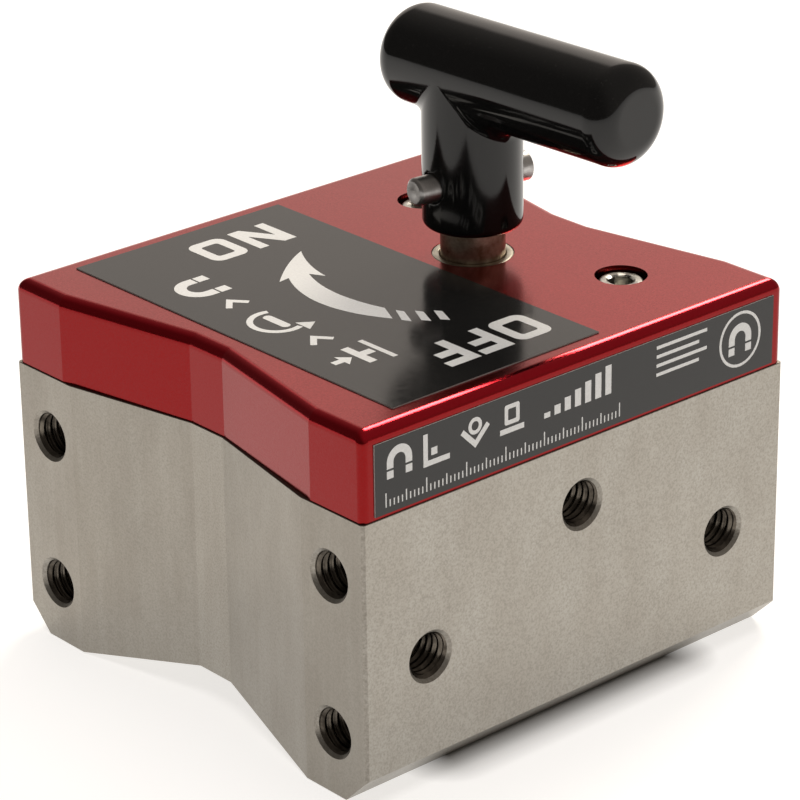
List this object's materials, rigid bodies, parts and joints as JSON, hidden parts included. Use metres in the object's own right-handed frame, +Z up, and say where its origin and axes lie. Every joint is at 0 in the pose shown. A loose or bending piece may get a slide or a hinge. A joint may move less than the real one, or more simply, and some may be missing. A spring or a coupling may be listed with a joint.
{
  "type": "switchable magnetic welding square",
  "caption": "Rectangular steel welding magnet with V grooves in both ends and the underside, a red cover, and a T-handle pushed down and turned to switch it on and off.",
  "frame": {"origin": "centre of the underside, on the plane that the base rests on", "axes": "+Z up along the handle's shaft, +X from one V-grooved end to the other, -Y out of the labelled front face"},
  "size_m": [0.112, 0.1062, 0.1271],
  "materials": {
    "housing_steel": "fine blasted, warm grey",
    "red_anodised": "satin red anodised aluminium",
    "screw_steel": "satin",
    "seal_rubber": "matt",
    "bush_metal": "turned",
    "magnet_plating": "nickel plated, semi-gloss",
    "brass": "turned",
    "thrust_plastic": "smooth",
    "label_black": "satin film",
    "carrier_aluminium": "turned",
    "gear_steel": "machined",
    "spring_steel": "drawn wire",
    "shaft_steel": "turned, brownish",
    "handle_black": "gloss dipped vinyl",
    "pin_steel": "ground"
  },
  "bodies": {
    "body": {"housing": "housing_steel", "cover": "red_anodised", "cover_screws": "screw_steel", "cover_dowels": "screw_steel", "cover_seal": "seal_rubber", "shaft_bush": "bush_metal", "shaft_seal": "seal_rubber", "lock_plate": "screw_steel", "lock_plate_screws": "screw_steel", "idler_pin": "screw_steel", "lower_magnet_right": "magnet_plating", "lower_magnet_left": "magnet_plating", "magnet_keys": "brass", "thrust_discs": "thrust_plastic", "top_label": "label_black", "side_label": "label_black"},
    "drive_rotor": {"upper_magnet_right": "magnet_plating", "drive_carrier": "carrier_aluminium", "drive_gear": "gear_steel", "drive_gear_pin": "screw_steel", "return_spring": "spring_steel"},
    "idler_rotor": {"upper_magnet_left": "magnet_plating", "idler_carrier": "carrier_aluminium", "idler_gear": "gear_steel", "idler_gear_pin": "screw_steel"},
    "handle": {"shaft": "shaft_steel", "lock_pin": "screw_steel", "handle_core": "shaft_steel", "handle_coating": "handle_black", "handle_pin": "pin_steel"}
  },
  "joints": [
    {"name": "handle_turn", "type": "hinge", "parent": "body", "child": "drive_rotor", "pos_m": [0.0205, 0, 0.06], "axis": [0, 0, 1], "range_deg": [-180, 0]},
    {"name": "idler_turn", "type": "hinge", "parent": "body", "child": "idler_rotor", "pos_m": [-0.0205, 0, 0.06], "axis": [0, 0, 1], "range_deg": [0, 180]},
    {"name": "handle_push", "type": "slide", "parent": "drive_rotor", "child": "handle", "axis": [0, 0, -1], "range_m": [0, 0.0048], "stiffness_N_per_m": 1500, "springref_m": -0.006, "deforming": ["return_spring"]}
  ],
  "couplings": [
    {"joint": "idler_turn", "follows": "handle_turn", "ratio": -1}
  ]
}
